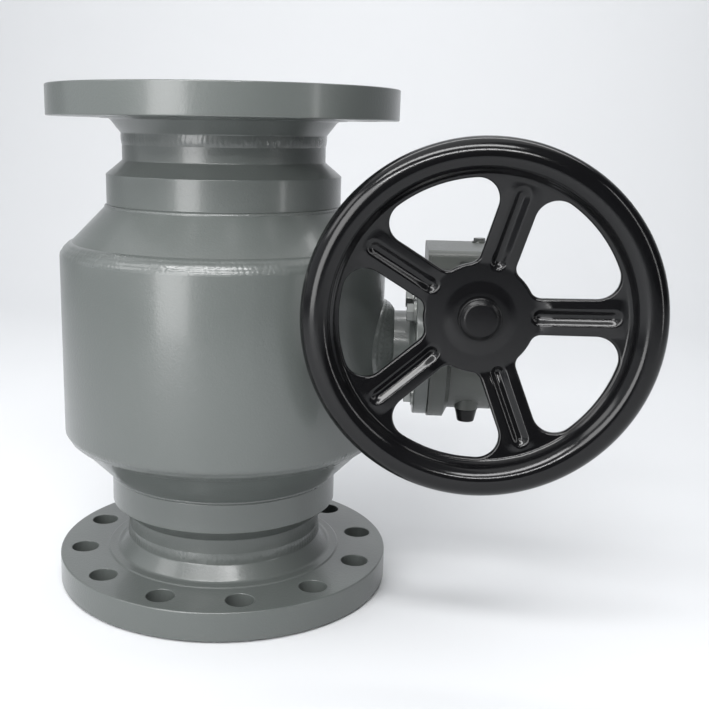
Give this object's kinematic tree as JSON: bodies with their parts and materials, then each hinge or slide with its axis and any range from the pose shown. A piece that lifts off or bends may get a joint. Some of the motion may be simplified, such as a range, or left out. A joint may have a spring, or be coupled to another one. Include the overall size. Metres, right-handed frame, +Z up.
{
  "type": "geared ball valve",
  "caption": "Flanged, fully welded quarter-turn ball valve standing on one flange, turned by a side-mounted worm gearbox with a black spoked handwheel.",
  "frame": {"origin": "centre of the bottom flange's sealing face", "axes": "+Z up the flow bore, +X out along the stem to the gearbox, -Y towards the handwheel and whoever turns it"},
  "size_m": [0.6235, 0.3795, 0.55],
  "materials": {
    "body_paint": "semi-gloss grey paint",
    "weld_paint": "grey paint over weld beads",
    "gearbox_paint": "satin grey paint over casting",
    "ball_plating": "polished hard plating",
    "machined_steel": "turned steel",
    "seat_polymer": "white seat polymer",
    "seal_rubber": "moulded rubber",
    "bronze": "machined bronze",
    "spring_steel": "spring steel",
    "wheel_enamel": "gloss black enamel",
    "black_plastic": "black moulded plastic",
    "indicator_paint": "red paint",
    "zinc_steel": "zinc plated"
  },
  "bodies": {
    "valve": {"lower_flange": "body_paint", "lower_hub_weld": "weld_paint", "lower_end_tube": "body_paint", "lower_cone": "body_paint", "lower_girth_weld": "weld_paint", "lower_seat_ring": "machined_steel", "lower_seat_insert": "seat_polymer", "lower_seat_o_ring": "seal_rubber", "lower_seat_spring": "spring_steel", "upper_flange": "body_paint", "upper_hub_weld": "weld_paint", "upper_end_tube": "body_paint", "upper_cone": "body_paint", "upper_girth_weld": "weld_paint", "upper_seat_ring": "machined_steel", "upper_seat_insert": "seat_polymer", "upper_seat_o_ring": "seal_rubber", "upper_seat_spring": "spring_steel", "body_shell": "body_paint", "stem_thrust_washer": "seat_polymer", "stem_bush": "bronze", "stem_packing": "seat_polymer", "packing_gland": "machined_steel", "stem_neck": "body_paint", "neck_shell_weld": "weld_paint", "neck_plate_weld": "weld_paint", "mounting_plate": "body_paint", "plate_bolts": "zinc_steel", "plate_washers": "zinc_steel", "gearbox_case": "gearbox_paint", "cover_gasket": "seal_rubber", "gearbox_cover": "gearbox_paint", "cover_bolts": "zinc_steel", "lower_hub_bush": "bronze", "upper_hub_bush": "bronze", "stop_screws": "zinc_steel", "stop_nuts": "zinc_steel", "stop_caps": "black_plastic", "grease_plug": "zinc_steel", "worm_bushes": "bronze", "worm_front_cover": "gearbox_paint", "worm_rear_cover": "gearbox_paint", "worm_seal": "seal_rubber", "front_cover_screws": "zinc_steel", "rear_cover_screws": "zinc_steel"},
    "rotor": {"ball": "ball_plating", "stem": "machined_steel", "stem_key": "zinc_steel", "worm_wheel": "bronze", "indicator_disc": "indicator_paint", "indicator_screws": "zinc_steel"},
    "worm_drive": {"worm_shaft": "machined_steel", "handwheel": "wheel_enamel", "handwheel_hub": "wheel_enamel", "handwheel_key": "zinc_steel", "hub_washer": "zinc_steel", "hub_screw": "zinc_steel", "hub_cap": "black_plastic"}
  },
  "joints": [
    {"name": "ball_turn", "type": "hinge", "parent": "valve", "child": "rotor", "pos_m": [0, 0, 0.275], "axis": [1, 0, 0], "range_deg": [0, 90]},
    {"name": "handwheel_turn", "type": "hinge", "parent": "valve", "child": "worm_drive", "pos_m": [0.268, 0, 0.336], "axis": [0, 1, 0], "range_deg": [0, 3240]}
  ],
  "couplings": [
    {"joint": "handwheel_turn", "follows": "ball_turn", "ratio": 36}
  ]
}
